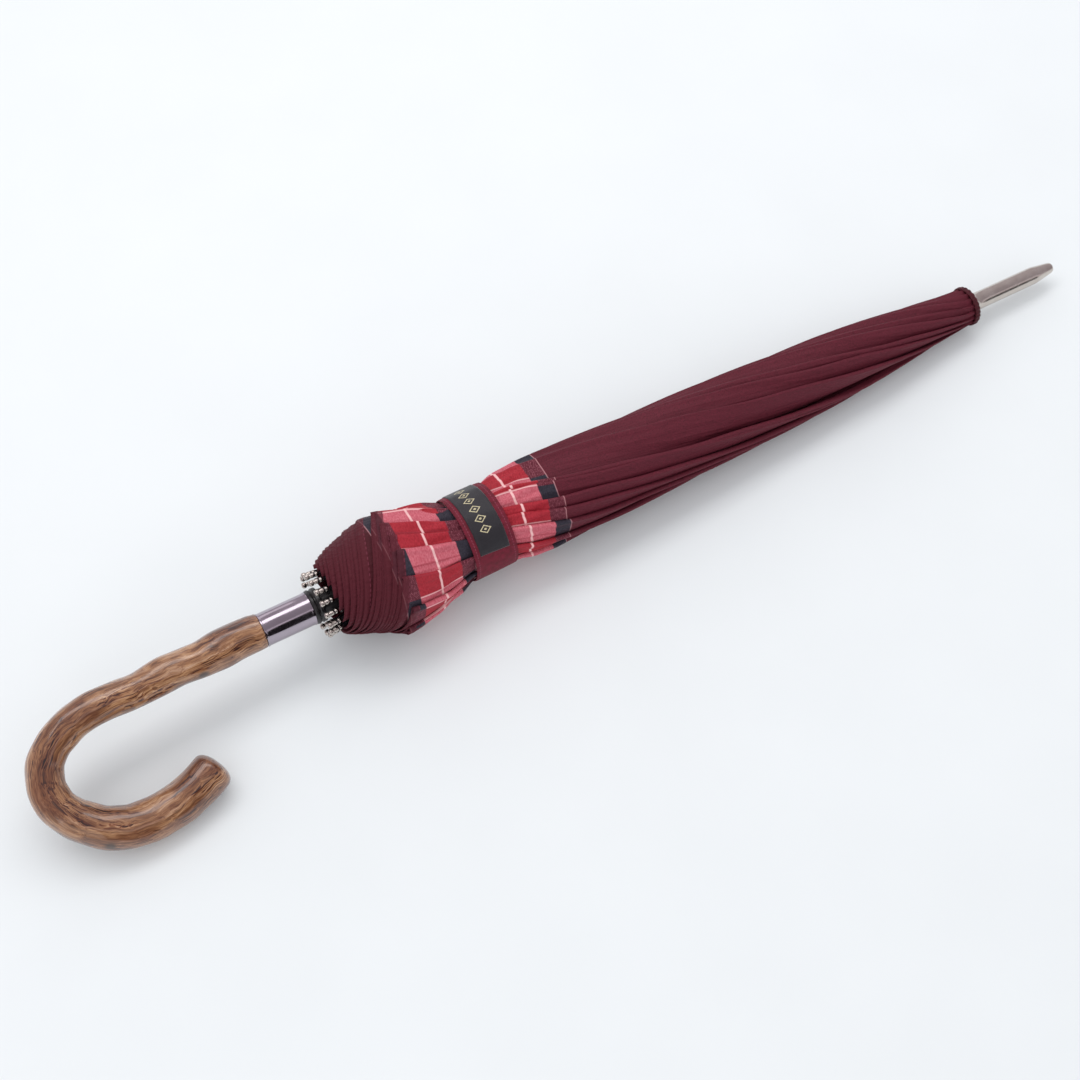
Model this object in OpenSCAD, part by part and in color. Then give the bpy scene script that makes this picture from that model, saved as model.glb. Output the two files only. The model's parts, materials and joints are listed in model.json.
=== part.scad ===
// Stick umbrella with a bent wooden crook, furled, strapped and lying on a flat surface.
// Everything is drawn in the umbrella's own frame: x runs up the shaft from the end of the wooden
// handle towards the tip, and azimuth 0 is the side that faces up before the umbrella is rolled.
// lie() then lays the finished umbrella down on its canopy and the end of its crook.

/* [Rest] */
// Angle by which the shaft leans down towards the tip, in degrees
tilt = 2.95; // [0:0.05:4]
// Distance from the end of the wood to the middle of the bounding box
middle_x = 250.73; // [200:0.01:300]
// Sideways distance from the shaft to the middle of the bounding box
middle_y = 20.755; // [0:0.005:40]

/* [Handle] */
// Radius of the wood where it meets the collar
wood_r = 12.2; // [11.5:0.1:13]
// Length of the straight part of the handle
grip_l = 125; // [100:1:140]
// Bend radius of the crook, at the middle of the wood
crook_r = 41.5; // [35:0.5:45]
// Angle through which the wood is bent, in degrees
crook_turn = 194; // [180:1:200]
// Length of the straight end after the bend
crook_end_l = 32; // [20:1:50]
// Radius of the wood halfway round the bend
crook_wood_r = 14.2; // [12.5:0.1:15]
// Radius of the tenon inside the collar
tenon_r = 10.9; // [9:0.1:11]

/* [Collar] */
// Outer radius of the chromed collar
collar_r = 11.7; // [11.2:0.1:12]
// Length of the chromed collar
collar_l = 36.5; // [30:0.5:40]
// Outer radius of the black bumper ring at the collar's end
bumper_r = 12.2; // [11.8:0.1:13]
// Length of the black bumper ring
bumper_l = 8; // [5:0.5:8]

/* [Shaft] */
// Outer radius of the steel shaft
shaft_r = 7; // [6:0.1:7]
// Wall of the steel shaft
shaft_wall = 0.9; // [0.6:0.1:1.2]
// Depth of the shaft inside the wood
shaft_socket_l = 60; // [40:1:80]

/* [Frame] */
// Distance from the end of the wood to the crown pivots
crown_x = 590; // [560:1:600]
// Distance between a rib's pivot and its stretcher's pivot, which is also the stretcher's length
arm_l = 265; // [260:1:265]
// Radius of the circles of pivots on the crown and on the runner
pivot_r = 10; // [9.8:0.1:10.2]
// Radius of a rib's wire
rib_wire_r = 1.25; // [1:0.05:1.3]
// Thickness of the rib eyes and of the stretchers
flat_t = 1.3; // [1.1:0.1:1.4]
// Width of the slots that hold the eyes
slot_w = 1.9; // [1.7:0.1:2]
// Radius of a rib at its waist under the strap
rib_waist_r = 13.4; // [13.2:0.1:13.6]
// Radius at which the rib tips end
rib_tip_r = 21.5; // [18:0.5:22]
// Distance from the end of the wood to the rib tips
rib_tip_x = 46; // [45:1:50]

/* [Canopy] */
// Radius of the furled canopy at the corners of its hem
hem_r = 44.5; // [40:0.5:48]
// Distance from the end of the wood to the corners of the hem
hem_x = 100; // [95:1:110]
// Radius of the furled canopy under the strap
waist_r = 29.8; // [28:0.1:31]
// Distance from the end of the wood to the middle of the strap
strap_x = 165; // [150:1:170]
// Angle left free between neighbouring gores, in degrees
gore_gap = 2.4; // [2.2:0.1:3]

/* [Strap] */
// Width of the strap
strap_w = 32; // [25:1:35]
// Thickness of the strap
strap_t = 1.1; // [0.8:0.1:1.5]
// Width of the woven label on the strap
label_w = 22; // [15:1:26]
// Thickness of the woven label
label_t = 0.5; // [0.4:0.1:1]

/* [Tip] */
// Radius of the ferrule
ferrule_r = 6.8; // [6:0.1:7]
// Distance from the end of the wood to the tip of the ferrule
tip_x = 682; // [660:1:700]
// Length of the ferrule's taper
taper_l = 19; // [10:1:25]

/* [Hidden] */
$fn = 64;
RIBS = 16;
step = 360 / RIBS;
floor_x = hem_x * sin(tilt);
shaft_z = floor_x + hem_r * cos(tilt);
crook_z = shaft_z + grip_l * sin(tilt) - crook_wood_r - 0.2;
roll = asin(crook_z / (2 * crook_r));
knee_x = crown_x - arm_l;
knee_r = 13.2;
runner_x = crown_x - 2 * arm_l;
eye_r = 1.7;
pin_r = 0.7;
pin_gap = 0.08;
neck_l = 8.5;
rosette_t = 5;
rosette_r = 15.8;
flange_r = 11.5;
catch_w = 2.6;
catch_l = 16;
catch_lift = 1.6;
open_angle = 76;
shut_catch_x = runner_x + 16;
open_catch_x = collar_l + bumper_l + 2 * arm_l * (1 - cos(open_angle)) - 2;
label_from = -95;
label_turn = 125;

// Lays the upright design down: rolled onto the end of its crook, leaning towards the tip
module lie() {
    translate([-middle_x * cos(tilt), middle_y, shaft_z])
        rotate([0, tilt, 0])
            rotate([roll, 0, 0])
                children();
}

// Turns a profile of radius and distance, spun about z, so that it runs up the shaft
module along_shaft() {
    rotate([180, 0, 0]) rotate([0, 90, 0]) children();
}

// A tube or disc round the shaft, from x0 to x1
module ring(x0, x1, r_out, r_in) {
    along_shaft() rotate_extrude() translate([r_in, x0]) square([r_out - r_in, x1 - x0]);
}

// A straight round bar between two points of the plane y = 0, given as [x, radius]
module bar(from, to, r) {
    run = to - from;
    translate([from[0], 0, from[1]])
        rotate([0, atan2(run[0], run[1]), 0])
            cylinder(h = norm(run), r = r, $fn = 24);
}

// A flat strip between two points of the plane y = 0, with round ends
module strip(from, to, t, h) {
    run = to - from;
    translate([from[0], 0, from[1]])
        rotate([0, -atan2(run[1], run[0]), 0])
            translate([0, t / 2, 0])
                rotate([90, 0, 0])
                    linear_extrude(t) {
                        translate([0, -h / 2]) square([norm(run), h]);
                        circle(d = h, $fn = 24);
                        translate([norm(run), 0]) circle(d = h, $fn = 24);
                    }
}

// A pin or a bore along y through a point of the plane y = 0
module cross_pin(at, r, l) {
    translate([at[0], 0, at[1]]) rotate([90, 0, 0]) cylinder(h = l, r = r, center = true, $fn = 32);
}

// ---- Handle: one rod of wood, knobbly where it is held and bent to a crook ----

module handle() {
    grip = [[0, wood_r], [-15, wood_r + 0.3], [-32, wood_r + 1.2], [-46, wood_r - 0.2],
            [-60, wood_r + 0.6], [-72, wood_r + 0.4], [-92, wood_r - 0.8], [-grip_l, wood_r - 0.4]];
    crook_end_r = crook_wood_r + 0.3;
    crook_end = [for (a = [0:15:75]) [crook_end_r * cos(a), crook_end_l + crook_end_r * sin(a)]];
    color("#a07850")
    difference() {
        union() {
            along_shaft() rotate_extrude()
                polygon(concat([for (p = grip) [p[1], p[0]]], [[0, -grip_l], [0, 30], [tenon_r, 30],
                    [tenon_r, 0]]));
            translate([-grip_l, -crook_r, 0]) {
                crook_arc(0, 60, wood_r - 0.4);
                crook_arc(60, 110, wood_r + 0.9);
                crook_arc(110, crook_turn, crook_wood_r);
                rotate([0, 0, crook_turn]) translate([0, crook_r, 0]) rotate([0, -90, 0])
                    rotate_extrude() polygon(concat([[0, -1], [crook_end_r, -1]], crook_end,
                        [[0, crook_end_l + crook_end_r]]));
            }
        }
        ring(-shaft_socket_l, 31, shaft_r, 0);
    }
}

// A bend of the crook between two angles
module crook_arc(from, to, r) {
    rotate([0, 0, 90 + from]) rotate_extrude(angle = to - from) translate([crook_r, 0]) circle(r = r);
}

// ---- Collar: a drawn and chromed tube over the tenon, closed towards the canopy ----

module collar() {
    color("#a79fab") {
        ring(0, collar_l - 2.5, collar_r, tenon_r);
        ring(collar_l - 2.5, collar_l, collar_r, shaft_r);
    }
}

// ---- Bumper ring: black plastic, stops the runner and shields the collar's edge ----

module bumper_ring() {
    color("#1b191b")
    along_shaft() rotate_extrude()
        polygon([[shaft_r, collar_l], [bumper_r - 0.6, collar_l], [bumper_r, collar_l + 0.8],
            [bumper_r, collar_l + bumper_l - 0.8], [bumper_r - 0.6, collar_l + bumper_l],
            [shaft_r + 2.4, collar_l + bumper_l], [shaft_r + 2.4, collar_l + 3],
            [shaft_r, collar_l + 3]]);
}

// ---- Shaft: a steel tube with a slot for each catch ----

module shaft() {
    color("#8f8b8c")
    difference() {
        ring(-shaft_socket_l, crown_x + 18, shaft_r, shaft_r - shaft_wall);
        for (x = [shut_catch_x, open_catch_x - catch_l])
            translate([x - 1, -catch_w / 2 - 0.3, 0]) cube([catch_l + 2, catch_w + 0.6, shaft_r + 1]);
    }
}

// ---- Catches: leaf springs that stand out of the shaft and stop the runner ----

module catch_spring() {
    color("#b4b0ac")
    translate([0, catch_w / 2, 0])
        rotate([90, 0, 0])
            linear_extrude(catch_w)
                polygon([[0, 3.6], [catch_l, 3.6], [catch_l, shaft_r - 1], [catch_l - 1.4, shaft_r - 1],
                    [2.2, shaft_r + catch_lift], [0, shaft_r + catch_lift]]);
}

// Holds the runner at the handle: its upright face is towards the handle
module bottom_catch() {
    translate([shut_catch_x, 0, 0]) catch_spring();
}

// Holds the runner open: its upright face is towards the tip
module top_catch() {
    translate([open_catch_x, 0, 0]) mirror([1, 0, 0]) catch_spring();
}

// ---- Crown: a notched disc on the shaft, with a ring of wire through the rib eyes ----

module crown() {
    color("#2a2729") {
        difference() {
            ring(crown_x - 7, crown_x + 7, flange_r, shaft_r);
            for (i = [0:RIBS - 1])
                rotate([i * step, 0, 0])
                    translate([crown_x - 8, -slot_w / 2, pivot_r - 2]) cube([8 + eye_r + 0.5, slot_w, 5]);
        }
        along_shaft() rotate_extrude() translate([pivot_r, crown_x]) circle(r = pin_r, $fn = 32);
    }
}

// ---- Rosette: the cap of cloth and plastic that closes the middle of the canopy ----

module rosette() {
    color("#4a1c26")
    along_shaft() rotate_extrude()
        polygon([[shaft_r, crown_x + 7], [rosette_r - 0.8, crown_x + 7], [rosette_r, crown_x + 8],
            [rosette_r, crown_x + 10], [rosette_r - 2, crown_x + 7 + rosette_t],
            [shaft_r, crown_x + 7 + rosette_t]]);
}

// ---- Ferrule: the nickelled tip over the end of the shaft ----

module ferrule() {
    base = crown_x + 7 + rosette_t;
    color("#b0a8a4")
    along_shaft() rotate_extrude()
        polygon([[shaft_r, base], [9, base], [9, base + 3.4], [8, base + 4.6], [ferrule_r + 0.5, base + 5],
            [ferrule_r, base + 8], [ferrule_r, tip_x - taper_l], [4.2, tip_x - 2], [3, tip_x],
            [0, tip_x], [0, base + 6], [shaft_r, base + 6]]);
}

// ---- Runner: slides on the shaft and carries the inner ends of the stretchers ----

module runner() {
    color("#1b191b")
    difference() {
        union() {
            ring(collar_l + bumper_l + 0.5, runner_x + 34, shaft_r + 1.2, shaft_r + pin_gap);
            ring(runner_x - 5, runner_x + 5, flange_r, shaft_r + pin_gap);
        }
        for (i = [0:RIBS - 1])
            rotate([i * step, 0, 0])
                translate([runner_x - 6, -slot_w / 2, pivot_r - 1.78]) cube([12, slot_w, 5]);
        translate([shut_catch_x - 0.8, -catch_w / 2 - 0.4, 0])
            cube([catch_l + 1.6, catch_w + 0.8, flange_r]);
    }
}

// ---- Ribs: sprung steel wires, each with an eye, a fork for its stretcher and a bright tip ----

module rib(i) {
    crown_at = [crown_x, pivot_r];
    knee_at = [knee_x, knee_r];
    waist_at = [130, rib_waist_r];
    tip_at = [rib_tip_x, rib_tip_r];
    along = (knee_at - crown_at) / norm(knee_at - crown_at);
    out = (tip_at - waist_at) / norm(tip_at - waist_at);
    color("#2a2729")
    rotate([i * step, 0, 0]) {
        difference() {
            strip(crown_at, crown_at + along * neck_l, flat_t, 2 * eye_r);
            cross_pin(crown_at, pin_r + pin_gap, 4);
        }
        bar(crown_at + along * neck_l, knee_at, rib_wire_r);
        sleeve(knee_at, 0.25);
        bar(knee_at, waist_at, rib_wire_r);
        sleeve(waist_at, 0.45);
        bar(waist_at, tip_at, rib_wire_r);
        translate([tip_at[0], 0, tip_at[1]])
            rotate([0, atan2(out[0], out[1]), 0])
                rotate_extrude($fn = 24)
                    polygon([[0, -3], [1.6, -3], [1.6, 1.8], [1.3, 2.2], [1.3, 2.8], [2, 3.5], [2, 4.9],
                        [1.2, 6], [0, 6]]);
        for (side = [-1, 1])
            translate([0, side * (flat_t / 2 + 0.45), 0])
                strip([knee_x, pivot_r], [knee_x, knee_r - 0.3], 0.5, 2.8);
        cross_pin([knee_x, pivot_r], pin_r, flat_t + 1.2);
    }
}

// A sleeve pressed over a bend in a rib's wire, where the cover is tied to the rib
module sleeve(at, wall) {
    bar(at - [2.4, 0], at + [2.4, 0], rib_wire_r + wall);
}

// ---- Stretchers: flat steel arms from the ribs to the runner ----

module stretcher(i) {
    color("#232022")
    rotate([i * step, 0, 0])
        difference() {
            union() {
                strip([runner_x, pivot_r], [knee_x, pivot_r], flat_t, 2);
                cross_pin([knee_x, pivot_r], 1.5, flat_t);
                cross_pin([runner_x, pivot_r], 1.5, flat_t);
            }
            cross_pin([knee_x, pivot_r], pin_r + pin_gap, 4);
        }
}

// ---- Canopy: sixteen gores, each furled into its own share of the bundle ----

module gore(i) {
    outside = [[24.8, 52], [hem_r, hem_x], [waist_r, strap_x - 17], [waist_r, strap_x + 17],
               [34.3, 215], [32.3, 334], [25.4, 460], [19, 544], [15.2, crown_x + 6.8]];
    inside = [[12.3, crown_x + 6.8], [15.2, knee_x], [15.7, 130], [23.4, 52]];
    color(i % 2 == 0 ? "#5e2632" : "#69303c")
    along_shaft()
        rotate([0, 0, i * step + gore_gap / 2])
            rotate_extrude(angle = step - gore_gap, $fn = 128)
                polygon(concat(outside, inside));
}

// ---- Strap and label: the band that holds the canopy shut, and the woven badge on it ----

module strap() {
    color("#66283a")
    ring(strap_x - strap_w / 2, strap_x + strap_w / 2, waist_r + 0.4 + strap_t, waist_r + 0.4);
}

module label() {
    color("#1d1a1d")
    along_shaft()
        rotate([0, 0, label_from])
            rotate_extrude(angle = label_turn)
                translate([waist_r + 0.4 + strap_t, strap_x - label_w / 2]) square([label_t, label_w]);
}

lie() handle();
lie() collar();
lie() bumper_ring();
lie() shaft();
lie() crown();
lie() rosette();
lie() ferrule();
lie() runner();
lie() bottom_catch();
lie() top_catch();
lie() strap();
lie() label();
for (i = [1:RIBS]) {
    lie() rib(i - 1);
    lie() stretcher(i - 1);
    lie() gore(i - 1);
}
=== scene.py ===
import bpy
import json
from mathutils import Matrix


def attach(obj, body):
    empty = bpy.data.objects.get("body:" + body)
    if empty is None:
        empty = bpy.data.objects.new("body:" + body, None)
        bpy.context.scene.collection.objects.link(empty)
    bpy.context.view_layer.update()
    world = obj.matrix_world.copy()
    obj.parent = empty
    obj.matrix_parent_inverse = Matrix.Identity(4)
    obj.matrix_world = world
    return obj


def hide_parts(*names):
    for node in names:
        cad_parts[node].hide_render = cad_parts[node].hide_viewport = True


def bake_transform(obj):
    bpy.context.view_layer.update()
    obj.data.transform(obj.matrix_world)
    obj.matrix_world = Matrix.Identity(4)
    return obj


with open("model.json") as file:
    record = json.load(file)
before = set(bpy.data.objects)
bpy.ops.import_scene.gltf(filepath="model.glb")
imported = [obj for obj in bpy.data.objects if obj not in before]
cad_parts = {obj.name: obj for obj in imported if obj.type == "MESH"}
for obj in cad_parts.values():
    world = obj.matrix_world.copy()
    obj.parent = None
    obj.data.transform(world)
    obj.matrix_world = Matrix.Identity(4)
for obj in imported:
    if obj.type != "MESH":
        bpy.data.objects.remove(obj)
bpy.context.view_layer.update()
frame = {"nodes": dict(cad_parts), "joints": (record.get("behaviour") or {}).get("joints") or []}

import json

import bmesh
import bpy
import numpy as np
from mathutils import Matrix, Vector

# ---- Shaft ---------------------------------------------------------------------------------------
# The backbone: a drawn steel tube, 14 mm across, enamelled black. One end is glued deep into the wood
# and the other is pinned in the ferrule. It shows only when the canopy is open.
joints = {joint["name"]: joint for joint in frame["joints"]}
CROWN_X, PIVOT_R = 590, 10
down_shaft = np.array(joints["runner_slide"]["axis"])
across_shaft = np.array(joints["rib_1_hinge"]["axis"])
axes = np.array([down_shaft, across_shaft, np.cross(down_shaft, across_shaft)])
wood_end = np.array(joints["rib_1_hinge"]["pos_m"]) - np.array([CROWN_X, 0, PIVOT_R]) @ axes / 1000


def placed(points):
    """The umbrella's own millimetres (x from the end of the wood to the tip) in the row frame's metres."""
    return wood_end + np.asarray(points, float) @ axes / 1000


def linear(colour):
    """An sRGB hex colour as linear RGBA."""
    srgb = np.array([int(colour[k:k + 2], 16) for k in (1, 3, 5)]) / 255
    return (*np.where(srgb <= 0.04045, srgb / 12.92, ((srgb + 0.055) / 1.055) ** 2.4), 1.0)


def finish_named(name):
    """A new material with its shader, and the shader."""
    material = bpy.data.materials.new(name)
    material.use_nodes = True
    return material, material.node_tree.nodes["Principled BSDF"]


def add(material, kind, *inputs, stops=None, at=None, to=None, **settings):
    """Adds a node. Inputs fill its sockets in order, at fills them by number, and the rest by name, where
    they aren't the node's own settings. Its first result that is in use goes to the socket in to."""
    tree = material.node_tree
    node = tree.nodes.new("ShaderNode" + kind)
    if stops:
        while len(node.color_ramp.elements) < len(stops):
            node.color_ramp.elements.new(0.5)
        for element, (position, colour) in zip(node.color_ramp.elements, stops):
            element.position, element.color = position, linear(colour)
    for key, value in [*settings.items(), *(at or {}).items(), *enumerate(inputs)]:
        if isinstance(key, str) and hasattr(node, key):
            setattr(node, key, value)
            continue
        socket = node.inputs[key if isinstance(key, int) else key.replace("_", " ")]
        if isinstance(value, bpy.types.Node):
            value = next(output for output in value.outputs if output.enabled)
        if isinstance(value, bpy.types.NodeSocket):
            tree.links.new(value, socket)
        else:
            socket.default_value = linear(value) if isinstance(value, str) else value
    if to:
        tree.links.new(next(output for output in node.outputs if output.enabled), to)
    return node


# Black stoving enamel on steel gives a deep glossy black with a faint orange peel. The peel is about
# 2 mm from crest to crest.
enamel, shader = finish_named("black_stoving_enamel")
shader.inputs["Base Color"].default_value = linear("#17151A")
shader.inputs["IOR"].default_value = 1.5
place = add(enamel, "TexCoord").outputs["Object"]
peel = add(enamel, "TexNoise", place, Scale=500.0, Detail=2.0)
rubbed = add(enamel, "TexNoise", place, Scale=60.0, Detail=5.0)
add(enamel, "MapRange", rubbed, 0.35, 0.7, 0.2, 0.38, to=shader.inputs["Roughness"])
add(enamel, "Bump", Height=peel, Strength=0.15, Distance=0.0002, to=shader.inputs["Normal"])


def dress(piece, material):
    """Puts a material on a piece."""
    piece.data.materials.clear()
    piece.data.materials.append(material)


def smooth(piece, sharp_angle=35):
    """Shades a piece smoothly, apart from edges sharper than this angle in degrees."""
    piece.data.shade_smooth()
    piece.data.set_sharp_from_angle(angle=np.radians(sharp_angle))


shaft = frame["nodes"]["shaft"]
dress(shaft, enamel)
smooth(shaft)

# ---- Handle --------------------------------------------------------------------------------------
# One rod of knobbly hardwood, steamed and bent into a crook, with its end turned to a dome. The bark's
# pinches and swellings are left on it, and it is varnished to a high gloss.
# The rod's middle line, from the collar round the crook to its end.
LINE = [(0, 0.2), (-10, 0.5), (-18.3, 0.9), (-31.3, 0.4), (-44.2, -0.8), (-56.9, 0.2), (-69.1, 0.9),
        (-82.6, -0.6), (-91.1, -1.3), (-105.2, -0.2), (-121.1, -0.2), (-136.6, -2.6), (-151.2, -9.2),
        (-162.3, -19.6), (-167.8, -34.5), (-166.8, -48), (-159.4, -61.2), (-145, -74), (-130, -80.8),
        (-113.9, -82.9), (-93.5, -80.6), (-78.3, -75.6), (-68, -71), (-61.5, -67.8)]
# Distance along the rod, and its radius there, with the swellings between the pinches.
ROD = [(0, 12.1), (3, 12.5), (10, 12.8), (18, 13.1), (31, 13.4), (38, 12.8), (46, 12.1), (57, 11.9),
       (69, 12.6), (83, 12.1), (92, 11.7), (105, 12.0), (121, 11.8), (140, 11.7), (158, 11.8), (176, 12.5),
       (190, 12.9), (206, 13.4), (222, 14.2), (240, 14.6), (262, 14.5), (285, 14.4), (320, 14.5)]
DOME = 8.0  # the length of the turned end
# Swellings and dents: distance along the rod, turn about it, how wide and how high.
KNOBS = [(47, 1.9, 5, -0.9), (67, 3.6, 6, 0.8), (31, 5.4, 6, 0.7), (88, 4.4, 5, -0.8), (203, 1.2, 7, 0.6),
         (150, 2.6, 5, 0.5)]


def eased(table, at, blur):
    """The table's values at these places, rounded over a distance of blur."""
    fine = np.arange(table[0][0] - 3 * blur, table[-1][0] + 3 * blur, blur / 8)
    values = np.interp(fine, *zip(*table))
    window = np.hanning(19)[1:-1]
    return np.interp(at, fine, np.convolve(np.pad(values, 8, "edge"), window / window.sum(), "valid"))


def skinned(name, grid, rolled=True, merged=True):
    """A mesh through a grid of points in row-frame metres. Rolled joins each row into a ring."""
    rows, columns = grid.shape[:2]
    number = np.arange(rows * columns).reshape(rows, columns)
    if rolled:
        number = np.hstack([number, number[:, :1]])
    faces = np.stack([number[:-1, :-1], number[:-1, 1:], number[1:, 1:], number[1:, :-1]], -1)
    mesh = bpy.data.meshes.new(name)
    mesh.from_pydata(grid.reshape(-1, 3).tolist(), [], faces.reshape(-1, 4).tolist())
    if merged:
        shape = bmesh.new()
        shape.from_mesh(mesh)
        bmesh.ops.remove_doubles(shape, verts=shape.verts, dist=2e-6)
        bmesh.ops.recalc_face_normals(shape, faces=shape.faces)
        shape.to_mesh(mesh)
        shape.free()
    piece = bpy.data.objects.new(name, mesh)
    bpy.context.scene.collection.objects.link(piece)
    return piece


step_lengths = np.hypot(*np.diff(LINE, axis=0).T)
passed = np.concatenate([[0], np.cumsum(step_lengths)])
rod_length = passed[-1]
along = np.concatenate([[0, 0, 0.15], np.arange(0.6, rod_length - DOME, 0.8)])
share = np.concatenate([[0.02, 0.94, 0.985], np.ones(len(along) - 3)])
dome = np.linspace(0, 1, 22)[1:]
along = np.concatenate([along, rod_length - DOME + DOME * np.sin(dome * np.pi / 2)])
share = np.concatenate([share, np.maximum(1 - np.sin(dome * np.pi / 2) ** 2.3, 0) ** (1 / 2.3)])
turn = np.linspace(0, 2 * np.pi, 96, endpoint=False)
# The line runs straight on past both ends, so that rounding it doesn't shorten it.
longer = np.array([(20, 0.2), *LINE, (LINE[-1][0] + 18, LINE[-1][1] + 9.2)])
passed = np.concatenate([[-20], passed, [rod_length + 20]])
runs = [list(zip(passed, longer[:, k])) for k in (0, 1)]
sampled = np.arange(0, rod_length + 0.1, 0.25)
flat_line = np.stack([eased(run, sampled, 8) for run in runs])
ahead = np.gradient(flat_line, axis=1)
ahead /= np.hypot(*ahead)
line = np.stack([*(np.interp(along, sampled, run) for run in flat_line), 0 * along], -1)
outward = np.stack([*(np.interp(along, sampled, run) for run in (ahead[1], -ahead[0])), 0 * along], -1)
A, T = along[:, None], turn[None]
knobs = (0.22 * np.sin(2 * T + A / 19) + 0.16 * np.sin(3 * T - A / 9.5 + 1.3) + 0.1 * np.sin(5 * T + A / 6.1)
         + 0.09 * np.sin(A / 3.7 + 2.2 * np.sin(T)))
for knob_at, knob_turn, size, height in KNOBS:
    away = np.hypot(A - knob_at, 12.5 * np.angle(np.exp(1j * (T - knob_turn))))
    knobs = knobs + height * np.exp(-(away / size) ** 2)
fade = np.clip(along / 6, 0, 1) * np.clip((rod_length - along) / 14, 0, 1)
radius = (eased(ROD, along, 7)[:, None] + knobs * fade[:, None]) * share[:, None]
grid = line[:, None] + radius[..., None] * (np.cos(turn)[None, :, None] * outward[:, None]
                                            + np.sin(turn)[None, :, None] * np.array([0, 0, 1.0]))
handle = skinned("bent_wood_handle", placed(grid), merged=False)
# Where each point was on the straight rod before it was bent, so that the grain follows the bend.
rod = np.stack([np.broadcast_to(A, radius.shape), radius * np.cos(T), radius * np.sin(T)], -1)
handle.data.attributes.new("rod", "FLOAT_VECTOR", "POINT").data.foreach_set("vector", rod.ravel())
smooth(handle, 40)

# Varnished chestnut gives a mid brown with broken dark vessels along the grain, under a thick clear coat
# with sharp reflections. Grain lines are 1 to 3 mm apart and tens of millimetres long.
wood, shader = finish_named("varnished_chestnut")
rod_at = add(wood, "Attribute", attribute_name="rod").outputs["Vector"]
drift = add(wood, "TexNoise", rod_at, Scale=0.045, Detail=2.0)
swirl = add(wood, "VectorMath", drift.outputs["Color"], operation="SCALE", Scale=9.0)
flowing = add(wood, "VectorMath", rod_at, swirl, operation="ADD")
# Each kind of mark in the grain: how long and how wide it is in millimetres, its detail and its wander.
grain = {}
for mark, long, wide, detail, wander in (
        ("growth", 42, 2.4, 5.0, 0.0), ("streak", 26, 1.15, 4.0, 0.6), ("patch", 50, 7, 2.0, 0.0),
        ("hairline", 14, 0.45, 3.0, 0.0), ("cloud", 38, 11, 2.0, 0.0), ("vessel", 9, 0.5, 3.0, 0.0),
        ("gloss", 20, 6, 4.0, 0.0)):
    drawn_out = add(wood, "Mapping", flowing, Scale=(1 / long, 1 / wide, 1 / wide))
    grain[mark] = add(wood, "TexNoise", drawn_out, Scale=1.0, Detail=detail, Distortion=wander)
colour = add(wood, "ValToRGB", grain["growth"],
             stops=[(0.28, "#75492C"), (0.42, "#9A6B45"), (0.56, "#B0835C"), (0.72, "#C29C7E")])
streaks = add(wood, "ValToRGB", grain["streak"],
              stops=[(0.50, "#FFFFFF"), (0.56, "#B58256"), (0.62, "#643A1C"), (0.71, "#341708")])
patches = add(wood, "MapRange", grain["patch"], 0.38, 0.56, 0.2, 1.0)
hairlines = add(wood, "ValToRGB", grain["hairline"], stops=[(0.42, "#FFFFFF"), (0.66, "#A88364")])
clouds = add(wood, "ValToRGB", grain["cloud"], stops=[(0.40, "#FFFFFF"), (0.62, "#A2744E")])
for share_of, shade in ((patches, streaks), (0.75, hairlines), (0.8, clouds)):
    colour = add(wood, "Mix", data_type="RGBA", blend_type="MULTIPLY", at={0: share_of, 6: colour, 7: shade})
for knot in ((236, 11, 9), (47, -10, 7), (88, -4, -12)):
    off = add(wood, "VectorMath", rod_at, knot, operation="DISTANCE").outputs["Value"]
    dark = add(wood, "MapRange", off, 1.5, 4.5, 0.85, 0.0, interpolation_type="SMOOTHSTEP")
    colour = add(wood, "Mix", data_type="RGBA", at={0: dark, 6: colour, 7: "#2A150A"})
wood.node_tree.links.new(colour.outputs[2], shader.inputs["Base Color"])
add(wood, "Bump", Height=grain["vessel"], Strength=0.35, Distance=0.0003, to=shader.inputs["Normal"])
add(wood, "MapRange", grain["gloss"], 0.3, 0.7, 0.28, 0.46, to=shader.inputs["Roughness"])
shader.inputs["IOR"].default_value = 1.5
shader.inputs["Coat Weight"].default_value = 1.0
shader.inputs["Coat Roughness"].default_value = 0.08
dress(handle, wood)
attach(handle, "stick")
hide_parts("handle")

# ---- Collar --------------------------------------------------------------------------------------
# A short tube of brass, dark chromed and buffed, pressed over the wood's tenon to hide the joint with the
# shaft. Both of its ends are rolled into a fine bead.


def turned(name, profile):
    """A piece turned on a lathe round the shaft: its profile as (distance from the wood, radius) in mm."""
    angle = np.linspace(0, 2 * np.pi, 96, endpoint=False)
    x, r = (np.array(column, float)[:, None] for column in zip(*profile))
    grid = np.stack([x + 0 * angle, r * np.cos(angle), r * np.sin(angle)], -1)
    piece = skinned(name, placed(grid))
    smooth(piece)
    return piece


collar = turned("chromed_collar",
                [(0.1, 11.0), (0.1, 11.7), (0.35, 12.0), (0.9, 12.05), (1.4, 11.85), (1.9, 11.7),
                 (10, 11.72), (24, 11.72), (34.4, 11.7), (35.0, 11.85), (35.6, 12.1), (36.2, 12.05),
                 (36.5, 11.8), (36.5, 11.0), (36.4, 8.0)])
chrome, shader = finish_named("buffed_dark_chrome")
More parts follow.
